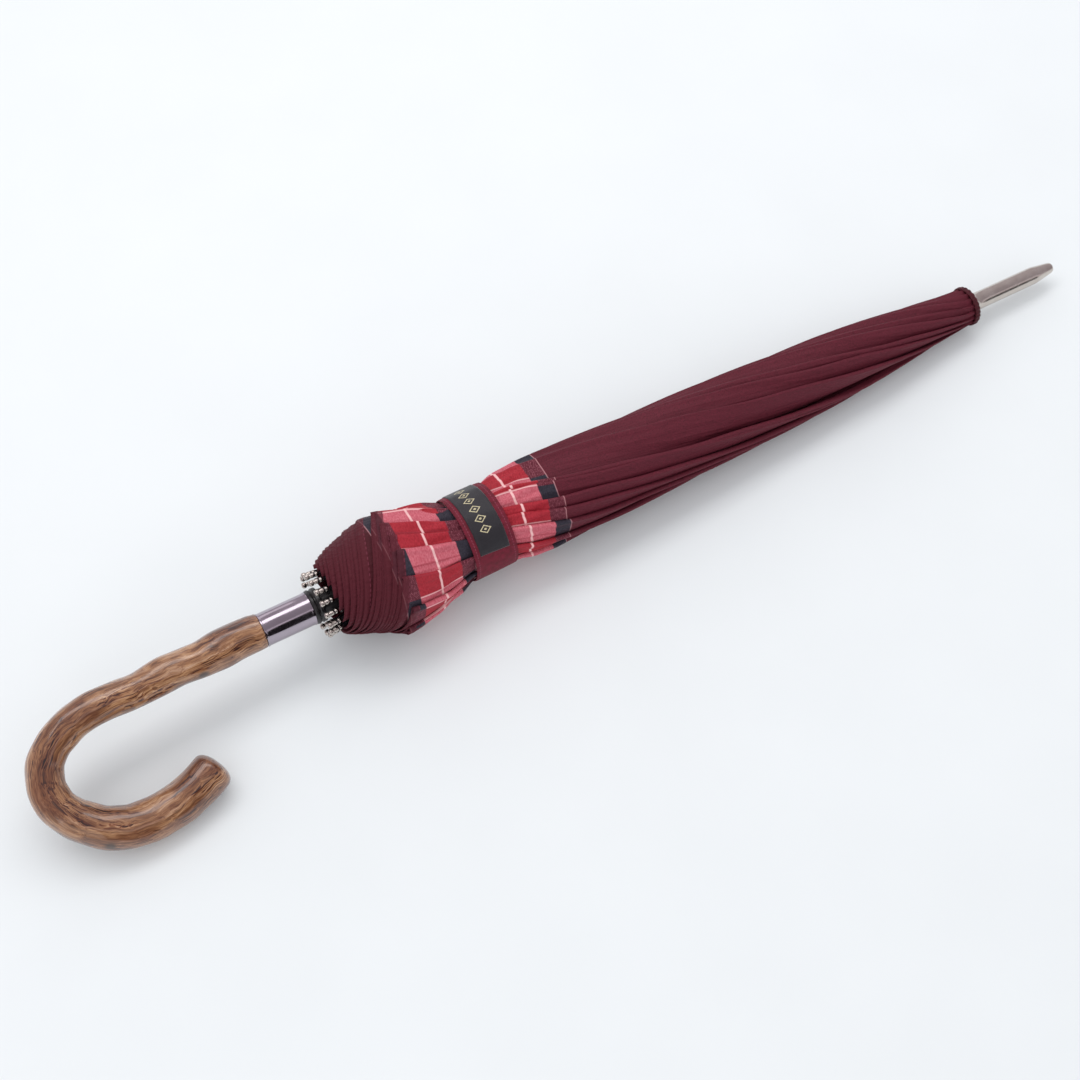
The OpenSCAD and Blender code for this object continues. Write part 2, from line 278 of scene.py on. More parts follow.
# Dark chrome mirrors the room in a mauve grey. Buffing leaves hair lines round it, 0.1 mm apart in the
# real one and drawn at 0.4 mm.
shader.inputs["Base Color"].default_value = linear("#ACA2AC")
shader.inputs["Metallic"].default_value = 1.0
place = add(chrome, "TexCoord").outputs["Object"]
round_it = add(chrome, "Mapping", place, Scale=(2500, 60, 60))
hairs = add(chrome, "TexNoise", round_it, Scale=1.0, Detail=3.0)
smears = add(chrome, "TexNoise", place, Scale=70.0, Detail=3.0)
add(chrome, "MapRange", smears, 0.3, 0.7, 0.09, 0.2, to=shader.inputs["Roughness"])
add(chrome, "Bump", Height=hairs, Strength=0.05, Distance=0.0002, to=shader.inputs["Normal"])
dress(collar, chrome)
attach(collar, "stick")
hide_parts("collar")

# ---- Bumper ring ---------------------------------------------------------------------------------
# A moulded black plastic ring, pushed into the collar's open end. The shut runner rests on it, and two
# rounded ribs are moulded round it.
ring = turned("black_plastic_bumper_ring",
              [(36.4, 7.4), (36.6, 11.6), (37.0, 12.1), (37.6, 12.35), (38.9, 12.35), (39.4, 12.0),
               (39.7, 11.6), (40.4, 11.6), (40.8, 12.0), (41.3, 12.35), (43.2, 12.35), (43.9, 12.1),
               (44.3, 11.6), (44.4, 10.9), (44.1, 10.2), (42.6, 9.6), (42.4, 7.3)])
plastic, shader = finish_named("moulded_black_abs")
# Moulded ABS has a soft gloss with a fine spark-eroded grain of 0.1 mm, drawn here at 0.4 mm.
shader.inputs["IOR"].default_value = 1.54
place = add(plastic, "TexCoord").outputs["Object"]
spark = add(plastic, "TexNoise", place, Scale=2500.0, Detail=2.0)
scuffs = add(plastic, "TexNoise", place, Scale=260.0, Detail=5.0)
add(plastic, "ValToRGB", scuffs, stops=[(0.45, "#141214"), (0.75, "#2C2728")],
    to=shader.inputs["Base Color"])
add(plastic, "MapRange", scuffs, 0.3, 0.7, 0.22, 0.42, to=shader.inputs["Roughness"])
add(plastic, "Bump", Height=spark, Strength=0.2, Distance=0.0001, to=shader.inputs["Normal"])
dress(ring, plastic)
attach(ring, "stick")
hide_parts("bumper_ring")

# ---- Crown, runner, ribs and stretchers -------------------------------------------------------------
# The crown and the runner are notched discs moulded in the ring's black plastic. The sixteen ribs are
# sprung steel wires and the stretchers are stamped steel flats, all enamelled black. The stretchers push
# the ribs out as the runner slides.
for name in ("crown", "runner"):
    part = frame["nodes"][name]
    dress(part, plastic)
    smooth(part)
for name, part in frame["nodes"].items():
    if name.startswith(("stretcher_", "rib_")):
        dress(part, enamel)
        smooth(part)

# ---- Catches -------------------------------------------------------------------------------------
# Two leaf springs of bright spring steel stand through slots in the shaft and stop the runner, one when
# the umbrella is shut and the other when it is open.
spring, shader = finish_named("polished_spring_steel")
# Rolled spring steel is bright with fine rolling lines along it, and slightly blued.
shader.inputs["Metallic"].default_value = 1.0
place = add(spring, "TexCoord").outputs["Object"]
rolled_lines = add(spring, "Mapping", place, Scale=(80, 2500, 2500))
lines = add(spring, "TexNoise", rolled_lines, Scale=1.0, Detail=3.0)
add(spring, "ValToRGB", lines, stops=[(0.3, "#8C8A88"), (0.7, "#C4C2BE")], to=shader.inputs["Base Color"])
add(spring, "MapRange", lines, 0.3, 0.7, 0.2, 0.4, to=shader.inputs["Roughness"])
for name in ("bottom_catch", "top_catch"):
    dress(frame["nodes"][name], spring)
    smooth(frame["nodes"][name])

# ---- Rib tips ------------------------------------------------------------------------------------
# Each rib's wire ends in a small turned cap of nickelled brass, which the canopy's corner is sewn to
# through a hole across it. The caps have a bead at the open end and a groove for the thread.
RIBS, STEP = 16, 22.5
TIP_X, TIP_R = 46, 21.5
waist_to_tip = np.array([130 - TIP_X, 0, 13.4 - TIP_R])
waist_to_tip /= np.linalg.norm(waist_to_tip)
nickel, shader = finish_named("nickelled_brass")
# Bright nickel is a warm, slightly yellow silver. Turning leaves rings 0.3 mm apart.
shader.inputs["Metallic"].default_value = 1.0
place = add(nickel, "TexCoord").outputs["Object"]
across = add(nickel, "Mapping", place, Scale=(3300, 90, 90))
rings = add(nickel, "TexNoise", across, Scale=1.0, Detail=2.0)
tarnish = add(nickel, "TexNoise", place, Scale=140.0, Detail=4.0)
add(nickel, "ValToRGB", tarnish, stops=[(0.3, "#C2B8B0"), (0.7, "#CEC6BE")], to=shader.inputs["Base Color"])
add(nickel, "MapRange", tarnish, 0.3, 0.7, 0.16, 0.26, to=shader.inputs["Roughness"])
add(nickel, "Bump", Height=rings, Strength=0.12, Distance=0.0002, to=shader.inputs["Normal"])
# The cap's profile: distance along the wire from its tip, and radius.
CAP = [(-6.15, 0.02), (-6.15, 1.2), (-5.8, 1.7), (-5.0, 2.12), (-3.4, 2.12), (-3.05, 1.8), (-2.8, 1.42),
       (-2.25, 1.42), (-1.95, 1.72), (0.4, 1.76), (0.7, 1.5), (1.3, 1.5), (1.6, 1.76), (3.2, 1.74),
       (3.5, 1.5), (4.4, 1.28)]
angle = np.linspace(0, 2 * np.pi, 20, endpoint=False)[:, None]
up = np.array([-waist_to_tip[2], 0, waist_to_tip[0]])
round_wire = np.cos(angle) * up + np.sin(angle) * np.array([0, 1.0, 0])
along_cap, cap_r = (np.array(column)[:, None, None] for column in zip(*CAP))
first_cap = np.array([TIP_X, 0, TIP_R]) + along_cap * waist_to_tip + cap_r * round_wire


def about(points, azimuth):
    """Points turned about the shaft, from the first rib's place to this azimuth in degrees."""
    c, s = np.cos(np.radians(azimuth)), np.sin(np.radians(azimuth))
    x, y, z = np.moveaxis(np.asarray(points, float), -1, 0)
    return np.stack([x, y * c - z * s, y * s + z * c], -1)


for i in range(RIBS):
    cap = skinned(f"rib_tip_{i + 1}", placed(about(first_cap, STEP * i)))
    smooth(cap, 50)
    dress(cap, nickel)
    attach(cap, f"rib_{i + 1}")

# ---- Canopy --------------------------------------------------------------------------------------
# Sixteen gores of burgundy pongee, sewn together along the ribs, each with a woven checked border and a
# narrow rolled hem. Furled, each gore is a flat pleat from two ribs, wound round the bundle over the last.
TOP_X, HEM_TIP_X = 597.4, 50.0
STRAP_X, STRAP_W = 165, 32.5  # the strap's middle and width
# Distance from the wood, and the bundle's outer radius there. The strap pulls it in at 149 to 181.
OUTSIDE = [(44, 40.0), (50, 40.3), (60, 41.6), (70, 42.4), (80, 43.6), (90, 44.2), (97, 44.0), (104, 42.8),
           (112, 41.0), (120, 38.9), (130, 36.0), (140, 32.6), (146, 30.4), (150, 29.5), (180, 29.5),
           (186, 30.6), (192, 31.8), (202, 32.6), (216, 33.2), (235, 33.2), (255, 32.9), (275, 32.5),
           (300, 31.7), (340, 30.6), (370, 29.5), (400, 28.4), (440, 27.0), (470, 25.7), (490, 24.4),
           (510, 22.9), (530, 21.0), (550, 19.1), (570, 16.9), (588, 15.4), (598, 14.9)]
INSIDE = [(44, 24.0), (52, 23.4), (90, 19.2), (130, 16.0), (325, 15.4), (500, 13.8), (598, 12.4)]
HALF_WIDTH = 0.195  # of a gore, for each millimetre from the top
# How far round each fold lies from its ribs, in degrees: the wrap is longest at the hem.
WOUND = [(44, 206), (92, 206), (148, 184), (182, 173), (223, 152), (300, 127), (380, 100), (460, 71),
         (535, 42), (570, 22), (590, 6), (597, 0), (603, 0)]
# How far each gore's fold strays from its even place, in degrees.
STRAY = [6, -4, 5, -7, -2.6, 17, -2.6, -3, -10.6, -16, -12.6, -3, 5, -5, 7, -4]
# Where each gore's fold falls across the check, in mm, because gores are cut anywhere in the width.
CUT = [64, 79, 69, 86, 72, 63, 82, 68, 77, 87, 73, 61, 84, 70, 80, 66]
FOLD_R = 1.9  # of the rounding of a fold
GORE_THROW = 198.66  # how far the far edge travels across, open

share = np.concatenate([np.linspace(0, 0.8, 20), np.linspace(0.8, 1, 29)[1:]])  # from a rib to the fold
columns = np.concatenate([share, share[-2::-1]])
near_half = np.arange(len(columns)) < len(share)
rows = np.concatenate([np.linspace(0, 0.78, 100), np.linspace(0.78, 1, 56)[1:]])


def hem_line(toward_fold, corner):
    """Distance from the wood of the hem, from a rib's tip to the fold's corner."""
    return HEM_TIP_X + (corner - HEM_TIP_X) * toward_fold ** 1.2


def gore_shape(i):
    """A furled gore: its points' azimuths, radii and distances from the wood, and what its cloth needs."""
    rib = STEP * i + np.where(near_half, 0, STEP)[None]
    p = columns[None]
    corner = 95 + 5 * np.cos(np.radians(STEP * i - 195 + STRAY[i] + 65)) + 1.5 * np.sin(2.4 * i)
    hem = hem_line(p, corner)
    x = TOP_X + rows[:, None] * (hem - TOP_X)
    outer, inner = eased(OUTSIDE, x, 5) - 0.8, eased(INSIDE, x, 12)
    wound = eased(WOUND, x, 14)
    settled = np.minimum(wound / 60, 1)
    fold = STEP * i + STEP / 2 * (1 - settled) - wound + STRAY[i] * settled
    fold = fold + settled * (1.3 * np.sin(x / 31 + 2.1 * i) + 0.8 * np.sin(x / 13.7 + 4.4 * i))
    azimuth = rib + p * (fold - rib)
    steep = np.interp(x, [92, 150, 230], [0.62, 1.15, 1.3])
    r = inner + (outer - inner) * p ** steep
    # The fold is rounded: the two layers part just behind it and close again.
    behind = np.radians(np.abs(azimuth - fold)) * outer
    rounding = FOLD_R * np.sqrt(np.clip(1 - (1 - np.minimum(behind / FOLD_R, 1)) ** 2, 0, 1))
    pressed = 1 - 0.8 * np.exp(-((x - STRAP_X) / 20) ** 4)  # flat under the strap
    rounding = rounding * np.exp(-np.maximum(behind - FOLD_R, 0) / 3.5) * settled * pressed
    r = r + np.where(near_half, -1, 1)[None] * rounding
    # Slow ripples, the same for every layer, so that no layer passes through the next.
    turn = np.radians(azimuth)
    loose = np.clip((TOP_X - x) / 60, 0, 1)
    r = r + 0.25 * np.sin(2 * turn + x / 37) + 0.2 * np.sin(5 * turn - x / 23) * loose
    # The strap gathers the cloth 35 mm either side of it into small lengthwise puckers.
    gathered = np.exp(-((x - STRAP_X + 35) / 14) ** 2) + np.exp(-((x - STRAP_X - 35) / 13) ** 2)
    r = r + gathered * (0.55 * np.sin(19 * turn + x / 60) + 0.5 * np.sin(31 * turn - x / 45))
    half = HALF_WIDTH * (TOP_X + 3 - x)
    off_fold = np.where(near_half, -1, 1)[None] * (1 - p) * half
    return azimuth, r, x, off_fold, x - hem, inner


def woven_in(piece, name, values):
    """Keeps a vector at each point of the mesh, for its material."""
    made = piece.data.attributes.new(name, "FLOAT_VECTOR", "POINT")
    made.data.foreach_set("vector", np.ascontiguousarray(values, np.float32).ravel())


def blended(piece, weights):
    """Puts each point for a moment where a smooth step gives its weight, bakes the piece's placement into
    its mesh, and puts the points back where they were.
    """
    shape = np.empty(len(piece.data.vertices) * 3)
    piece.data.vertices.foreach_get("co", shape)
    spread = np.zeros((len(weights), 3))
    spread[:, 1] = 0.5 - np.sin(np.arcsin(np.clip(1 - 2 * weights, -1, 1)) / 3)
    piece.data.vertices.foreach_set("co", spread.ravel())
    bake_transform(piece)
    piece.data.vertices.foreach_set("co", shape)
    piece.data.update()


# Pongee is a plain weave of fine polyester yarn: matt, with a soft bloom at grazing angles. Its threads
# are 0.15 mm apart and drawn at 0.6 mm. The border's checks are 12 and 36 mm deep and 21 mm wide.
CHECK_W, ROW_FIRST, ROW_EVERY = 21.0, 85.0, 36.0
pongee, shader = finish_named("burgundy_pongee_with_woven_check")
cloth = add(pongee, "Attribute", attribute_name="cloth").outputs["Vector"]
cross, length, from_hem = add(pongee, "SeparateXYZ", cloth).outputs
from_row = add(pongee, "Math", length, ROW_FIRST, operation="SUBTRACT")
repeat = add(pongee, "Math", from_row, ROW_EVERY, operation="PINGPONG")
column = add(pongee, "Math", cross, 2 * CHECK_W, operation="FLOORED_MODULO")
off_seam = add(pongee, "Math", column, CHECK_W, operation="SUBTRACT")
off_seam = add(pongee, "Math", off_seam, operation="ABSOLUTE")
# Waves across and along the cloth: the check's fine yarns 1.3 mm apart, and the weave's threads.
wave = {}
for pitch in (4.8, 10.5):
    for way, distance in (("across", cross), ("along", length)):
        wave[way, pitch] = add(pongee, "Math", add(pongee, "Math", distance, pitch, operation="MULTIPLY"),
                               operation="SINE")
yarns = add(pongee, "Math", wave["across", 4.8], wave["along", 4.8], operation="MULTIPLY")
# Bands of the pattern: what is measured, where the band starts and ends, and how soft its edges are.
band = {}
for name, measured, low, high, soft in (
        ("first column", column, 0.0, 21.0, 0.25), ("border", length, 91.0, 223.0, 0.25),
        ("check row", repeat, 6.0, 18.0, 0.25), ("pale line across", repeat, 35.2, 40.0, 0.25),
        ("dark edge", off_seam, 10.2, 10.9, 0.3), ("pale line", column, 20.3, 21.5, 0.25),
        ("other pale line", column, 41.3, 43.0, 0.25), ("row edge", repeat, 5.2, 6.6, 0.25),
        ("yarn crossing", yarns, 0.1, 1.0, 0.3), ("painted shade under the border", length, 0.0, 91.0, 1.0),
        ("hem", from_hem, -5.0, 5.0, 0.25), ("stitch line", from_hem, 4.0, 4.7, 0.15)):
    rise = add(pongee, "MapRange", measured, low - soft, low + soft, 0.0, 1.0)
    fall = add(pongee, "MapRange", measured, high - soft, high + soft, 1.0, 0.0)
    band[name] = add(pongee, "Math", rise, fall, operation="MULTIPLY")
long_line = add(pongee, "Math", band["pale line"], band["other pale line"], operation="MAXIMUM")
stitch_gaps = add(pongee, "Math", cross, 2.5, operation="MULTIPLY")
stitch_gaps = add(pongee, "Math", add(pongee, "Math", stitch_gaps, operation="SINE"), -0.2,
                  operation="GREATER_THAN")
stitches = add(pongee, "Math", band["stitch line"], stitch_gaps, operation="MULTIPLY")
faint = {name: add(pongee, "Math", mask, strength, operation="MULTIPLY") for name, mask, strength in (
    ("dark edge", band["dark edge"], 0.6), ("row edge", band["row edge"], 0.5), ("hem", band["hem"], 0.8),
    ("stitches", stitches, 0.6))}
mottled = add(pongee, "TexNoise", cloth, Scale=0.9, Detail=4.0)
along_yarns = add(pongee, "Mapping", cloth, Scale=(2.2, 0.08, 1.0))
slubs = add(pongee, "TexNoise", along_yarns, Scale=1.0, Detail=3.0)
plain = add(pongee, "ValToRGB", slubs, stops=[(0.3, "#4C0F1E"), (0.7, "#64192B")])
red = add(pongee, "ValToRGB", mottled, stops=[(0.35, "#921625"), (0.7, "#AC2634")])
pink = add(pongee, "ValToRGB", mottled, stops=[(0.35, "#B34C5A"), (0.7, "#CA6E7A")])
navy = add(pongee, "ValToRGB", mottled, stops=[(0.35, "#231F2B"), (0.7, "#37323E")])
speckled = add(pongee, "ValToRGB", mottled, stops=[(0.42, "#561626"), (0.64, "#97525F")])
# The colours are laid over one another in this order, each through its own band.
dye = {}
for name, through, under, over in (
        ("fine check", band["yarn crossing"], "#5A1828", speckled),
        ("blocks", band["first column"], red, pink), ("blocks", long_line, "blocks", "#DDA3A6"),
        ("blocks", faint["dark edge"], "blocks", "#8E2634"),
        ("blocks", band["pale line across"], "blocks", "#E6B4B4"),
        ("checks", band["first column"], "fine check", navy),
        ("border", band["check row"], "blocks", "checks"),
        ("border", faint["row edge"], "border", "#D9A0A4"),
        # Below the border the cloth is painted a shade deeper: painted shade for the light trapped between
        # the wound layers of the hem cone.
        ("cloth", band["painted shade under the border"], plain, "#480A18"),
        ("cloth", band["border"], "cloth", "border"),
        ("cloth", faint["hem"], "cloth", "#520E1E"), ("cloth", stitches, "cloth", "#6A2838")):
    under, over = (dye[tone] if tone in list(dye) else tone for tone in (under, over))
    dye[name] = add(pongee, "Mix", data_type="RGBA", at={0: through, 6: under, 7: over})
pongee.node_tree.links.new(dye["cloth"].outputs[2], shader.inputs["Base Color"])
threads = add(pongee, "Math", wave["across", 10.5], wave["along", 10.5], operation="ADD")
weave = add(pongee, "Bump", Height=threads, Strength=0.25, Distance=0.00008)
crumple = add(pongee, "TexNoise", cloth, Scale=0.13, Detail=3.0)
crumpled = add(pongee, "Bump", Height=crumple, Strength=0.35, Distance=0.0012, Normal=weave)
lengthwise = add(pongee, "Mapping", cloth, Scale=(0.2, 0.012, 0.0))
pulled = add(pongee, "TexNoise", lengthwise, Scale=1.0, Detail=2.0)
creased = add(pongee, "Bump", Height=pulled, Strength=0.7, Distance=0.004, Normal=crumpled)
sewn = add(pongee, "Math", band["hem"], faint["stitches"], operation="SUBTRACT")
add(pongee, "Bump", Height=sewn, Strength=0.7, Distance=0.0003, Normal=creased, to=shader.inputs["Normal"])
shader.inputs["Roughness"].default_value = 0.72
shader.inputs["IOR"].default_value = 1.5
shader.inputs["Specular IOR Level"].default_value = 0.3
shader.inputs["Sheen Weight"].default_value = 0.08
shader.inputs["Sheen Roughness"].default_value = 0.4
shader.inputs["Sheen Tint"].default_value = linear("#C87080")

for i in range(RIBS):
    azimuth, r, x, off_fold, from_edge, inner = gore_shape(i)
    a = np.radians(azimuth)
    grid = np.stack([x, -r * np.sin(a), r * np.cos(a)], -1)
    gore = skinned(f"canopy_gore_{i + 1}", placed(grid), rolled=False, merged=False)
    jog = 1.4 * np.sin(3.1 * i + 1)
    woven_in(gore, "cloth", np.stack([off_fold + CUT[i], x + jog, from_edge], -1))
    smooth(gore, 180)
    across = np.concatenate([share / 2, 1 - share[-2::-1] / 2])[None]
    width = GORE_THROW * (CROWN_X - x) / (CROWN_X - TIP_X) + inner * np.sin(np.radians(STEP))
    now_at = -r * np.sin(np.radians(azimuth - STEP * i))
    weights = np.clip((across * width + now_at) / GORE_THROW, 0, 1)
    weights = weights * np.clip((CROWN_X - x) / 12, 0, 1)
    blended(gore, weights.ravel())
    # The cloth is drawn 0.3 mm thick, and 0.8 mm at its rolled hem.
    hem_group = gore.vertex_groups.new(name="hem")
    for k in np.flatnonzero(from_edge.ravel() < 5.5):
        hem_group.add([int(k)], 1.0, "REPLACE")
    thickness = gore.modifiers.new("cloth", "SOLIDIFY")
    thickness.thickness, thickness.offset = 0.0008, 0.0
    thickness.vertex_group, thickness.thickness_vertex_group = "hem", 0.4
    dress(gore, pongee)
    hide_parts(f"gore_{i + 1}")

# ---- Rosette -------------------------------------------------------------------------------------
# A disc of the canopy's cloth, gathered over a washer and bound round its rim, that covers the raw tops
# of the gores under the ferrule.
rosette_turn = np.linspace(0, 2 * np.pi, 192, endpoint=False)
ROSETTE = [(595.6, 14.2), (595.7, 15.1), (596.2, 15.4), (597.2, 15.6), (598.4, 15.55), (599.4, 15.2),
           (600.1, 14.6), (600.4, 13.6), (600.9, 12.0), (601.3, 10.6), (601.6, 9.3), (601.7, 8.0)]
x, r = (np.array(column)[:, None] for column in zip(*ROSETTE))
gathers = 0.18 * np.sin(24 * rosette_turn + 1.5 * np.sin(3 * rosette_turn)) * np.clip((r - 7) / 6, 0, 1)
out = r + gathers
grid = np.stack([x + gathers * 0.8, out * np.cos(rosette_turn), out * np.sin(rosette_turn)], -1)
rosette = skinned("cloth_rosette", placed(grid), merged=False)
woven_in(rosette, "cloth", np.stack(np.broadcast_arrays(rosette_turn * 15.8, x, 50.0), -1))
smooth(rosette, 50)
# The binding is a bias tape of burgundy satin, darker than the pongee, with fine ribs 0.5 mm apart.
tape, shader = finish_named("dark_burgundy_satin_tape")
place = add(tape, "Attribute", attribute_name="cloth").outputs["Vector"]
shaded_tape = add(tape, "TexNoise", place, Scale=0.5, Detail=4.0)
add(tape, "ValToRGB", shaded_tape, stops=[(0.3, "#38060F"), (0.7, "#520F1E")],
    to=shader.inputs["Base Color"])
fine_ribs = add(tape, "TexWave", place, Scale=0.63, Distortion=0.4).outputs["Fac"]
add(tape, "Bump", Height=fine_ribs, Strength=0.4, Distance=0.0002, to=shader.inputs["Normal"])
shader.inputs["Roughness"].default_value = 0.6
shader.inputs["Specular IOR Level"].default_value = 0.3
dress(rosette, tape)
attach(rosette, "stick")
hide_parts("rosette")

# ---- Ferrule -------------------------------------------------------------------------------------
# A turned tip of nickelled brass, pinned on the shaft's end. Its foot flares over the rosette and its
# end tapers to a blunt point.
ferrule = turned("nickelled_ferrule",
                 [(600.9, 6.0), (600.9, 9.3), (601.5, 9.75), (602.4, 9.7), (603.2, 9.1), (605, 8.1),
                  (607.5, 7.3), (610, 6.95), (616, 6.85), (640, 6.82), (662, 6.8), (664.2, 6.7), (666, 6.45),
                  (678, 4.65), (680.6, 4.2), (681.6, 3.7), (682, 2.9), (682, 0.01)])
dress(ferrule, nickel)
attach(ferrule, "stick")
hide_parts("ferrule")

# ---- Strap ---------------------------------------------------------------------------------------
# A band of the canopy's cloth, doubled and stitched along both edges, sewn to one gore. It goes once
# round the furled canopy and laps over itself, where hook-and-loop holds it.
STRAP_R = 30.75
FROM, TURN = 168.0, 392.0  # where the band starts, and how far it goes round, in degrees
round_by = np.linspace(0, 1, 260)[:, None]
# The band's section: across its width, and above its middle radius.
edge = np.linspace(0, 2 * np.pi, 44, endpoint=False)[None]
wide = np.sign(np.cos(edge)) * np.abs(np.cos(edge)) ** 0.25 * STRAP_W / 2
thick = np.sign(np.sin(edge)) * np.abs(np.sin(edge)) ** 0.5 * 0.5


def strap_radius(angle, x):
    """The band's middle radius where it goes round, with a soft waviness from the pleats beneath."""
    turn = np.radians(angle)
    return STRAP_R + 0.16 * np.sin(7 * turn + x / 9) + 0.1 * np.sin(16 * turn - x / 14)


azimuth = FROM + TURN * round_by + 0 * edge
a = np.radians(azimuth)
lap = np.clip((azimuth - FROM - 360 + 8) / 12, 0, 1) * 1.15  # rises over the start in 12 degrees
x = STRAP_X + wide + 0.5 * np.sin(a)
r = strap_radius(azimuth, x) + thick + lap + 0.12 * np.cos(wide / STRAP_W * 2 * np.pi * 0.9)
strap = skinned("cloth_strap", placed(np.stack([x, -r * np.sin(a), r * np.cos(a)], -1)), merged=False)
shape = bmesh.new()
shape.from_mesh(strap.data)
bmesh.ops.holes_fill(shape, edges=[e for e in shape.edges if e.is_boundary])
bmesh.ops.recalc_face_normals(shape, faces=shape.faces)
shape.to_mesh(strap.data)
shape.free()
# Each degree round takes 0.537 mm of the band.
woven_in(strap, "cloth", np.stack(np.broadcast_arrays(wide, azimuth * 0.537, thick), -1))
smooth(strap, 60)

# The strap's cloth is the plain burgundy pongee, doubled, with a row of lockstitch 2.5 mm from each edge
# whose 2.2 mm stitches sit in a shallow channel.
doubled, shader = finish_named("stitched_burgundy_strap")
place = add(doubled, "Attribute", attribute_name="cloth").outputs["Vector"]
over, round_about = add(doubled, "SeparateXYZ", place).outputs[:2]
off_middle = add(doubled, "Math", over, operation="ABSOLUTE")
off_edge = add(doubled, "Math", STRAP_W / 2, off_middle, operation="SUBTRACT")
in_channel = add(doubled, "Math", off_edge, 2.5, 0.35, operation="COMPARE")
channel = add(doubled, "MapRange", in_channel, interpolation_type="SMOOTHSTEP")
# Waves along the stitches, and of the weave's threads both ways.
wave = {}
for name, distance, pitch in (("stitch", round_about, 2.85), ("warp", over, 8.0),
                              ("weft", round_about, 8.0)):
    phase = add(doubled, "Math", distance, pitch, operation="MULTIPLY")
    wave[name] = add(doubled, "Math", phase, operation="SINE")
on_stitch = add(doubled, "Math", wave["stitch"], -0.5, operation="GREATER_THAN")
thread = add(doubled, "Math", channel, on_stitch, operation="MULTIPLY")
cloudy = add(doubled, "TexNoise", place, Scale=0.35, Detail=5.0)
base = add(doubled, "ValToRGB", cloudy, stops=[(0.3, "#57091B"), (0.7, "#72112A")])
add(doubled, "Mix", data_type="RGBA", at={0: thread, 6: base, 7: "#7C3042"}, to=shader.inputs["Base Color"])
ribbed = add(doubled, "Math", wave["warp"], wave["weft"], operation="ADD")
weave = add(doubled, "Bump", Height=ribbed, Strength=0.3, Distance=0.0001)
add(doubled, "Bump", Height=channel, Strength=0.8, Distance=0.0004, invert=True, Normal=weave,
    to=shader.inputs["Normal"])
shader.inputs["Roughness"].default_value = 0.68
shader.inputs["Specular IOR Level"].default_value = 0.3
shader.inputs["Sheen Weight"].default_value = 0.08
shader.inputs["Sheen Roughness"].default_value = 0.4
shader.inputs["Sheen Tint"].default_value = linear("#C87080")
# The loop's weight rises from none at azimuth 0 to one on the opposite side.
rise = ((1 - np.cos(a)) / 2).ravel()
blended(strap, rise)
dress(strap, doubled)
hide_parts("strap")

# ---- Label ---------------------------------------------------------------------------------------
# A woven satin badge with turned-in edges, sewn along the strap. A row of small lozenges in pale thread
# runs down its middle.
LABEL_W, LABEL_FROM, LABEL_TO = 22.5, -95.0, 32.0
round_by, over_by = np.linspace(0, 1, 150)[:, None], np.linspace(-1, 1, 36)[None]
slant = 1.6 * over_by * (2 * round_by - 1)
azimuth = LABEL_FROM + (LABEL_TO - LABEL_FROM) * round_by + slant
x = STRAP_X - 0.5 + 0.5 * np.sin(np.radians(azimuth)) + over_by * LABEL_W / 2
near_end = np.minimum(round_by, 1 - round_by) * 67
near_edge = np.minimum((1 - np.abs(over_by)) * LABEL_W / 2, near_end)
rounded = np.sqrt(np.clip(1 - (1 - np.minimum(near_edge / 0.7, 1)) ** 2, 0, 1))
raised = 0.62 + 0.3 * rounded - 0.12 * (near_edge > 2.2)  # the turned-in edges are 2.2 mm wide
a = np.radians(azimuth)
r = strap_radius(azimuth, x) + raised
grid = np.stack([x, -r * np.sin(a), r * np.cos(a)], -1)
label = skinned("woven_label", placed(grid), rolled=False, merged=False)
# Each degree round takes 0.55 mm of the label.
flat_label = np.broadcast_arrays(over_by * LABEL_W / 2, (azimuth - LABEL_FROM) * 0.55, near_edge)
woven_in(label, "cloth", np.stack(flat_label, -1))
smooth(label, 60)
blended(label, ((1 - np.cos(a)) / 2).ravel())
backing = label.modifiers.new("backing", "SOLIDIFY")
backing.thickness, backing.offset = 0.0005, 1.0

# Woven satin is black with a silky sheen along its floats. The lozenges are pale gold weft, 7 mm long,
# and float above the ground by a thread.
satin, shader = finish_named("black_woven_satin")
place = add(satin, "Attribute", attribute_name="cloth").outputs["Vector"]
over, round_about = add(satin, "SeparateXYZ", place).outputs[:2]
# Lozenges 8 mm apart, on a line 1 mm off the middle: an outline with a seed in it.
PITCH, TALL, WIDE = 8.0, 3.2, 4.6
in_pitch = add(satin, "Math", round_about, PITCH, operation="FLOORED_MODULO")
in_pitch = add(satin, "Math", in_pitch, PITCH / 2, operation="SUBTRACT")
in_pitch = add(satin, "Math", in_pitch, operation="ABSOLUTE")
off_line = add(satin, "Math", over, 1.0, operation="ADD")
off_line = add(satin, "Math", off_line, operation="ABSOLUTE")
tall = add(satin, "Math", in_pitch, TALL, operation="DIVIDE")
wide = add(satin, "Math", off_line, WIDE, operation="DIVIDE")
lozenge = add(satin, "Math", tall, wide, operation="ADD")
outline = add(satin, "Math", lozenge, 0.85, 0.13, operation="COMPARE")
seed = add(satin, "Math", lozenge, 0.28, operation="LESS_THAN")
motif = add(satin, "Math", outline, seed, operation="MAXIMUM")
off_ends = add(satin, "Math", round_about, 32.0, 24.5, operation="COMPARE")
motif = add(satin, "Math", motif, off_ends, operation="MULTIPLY")
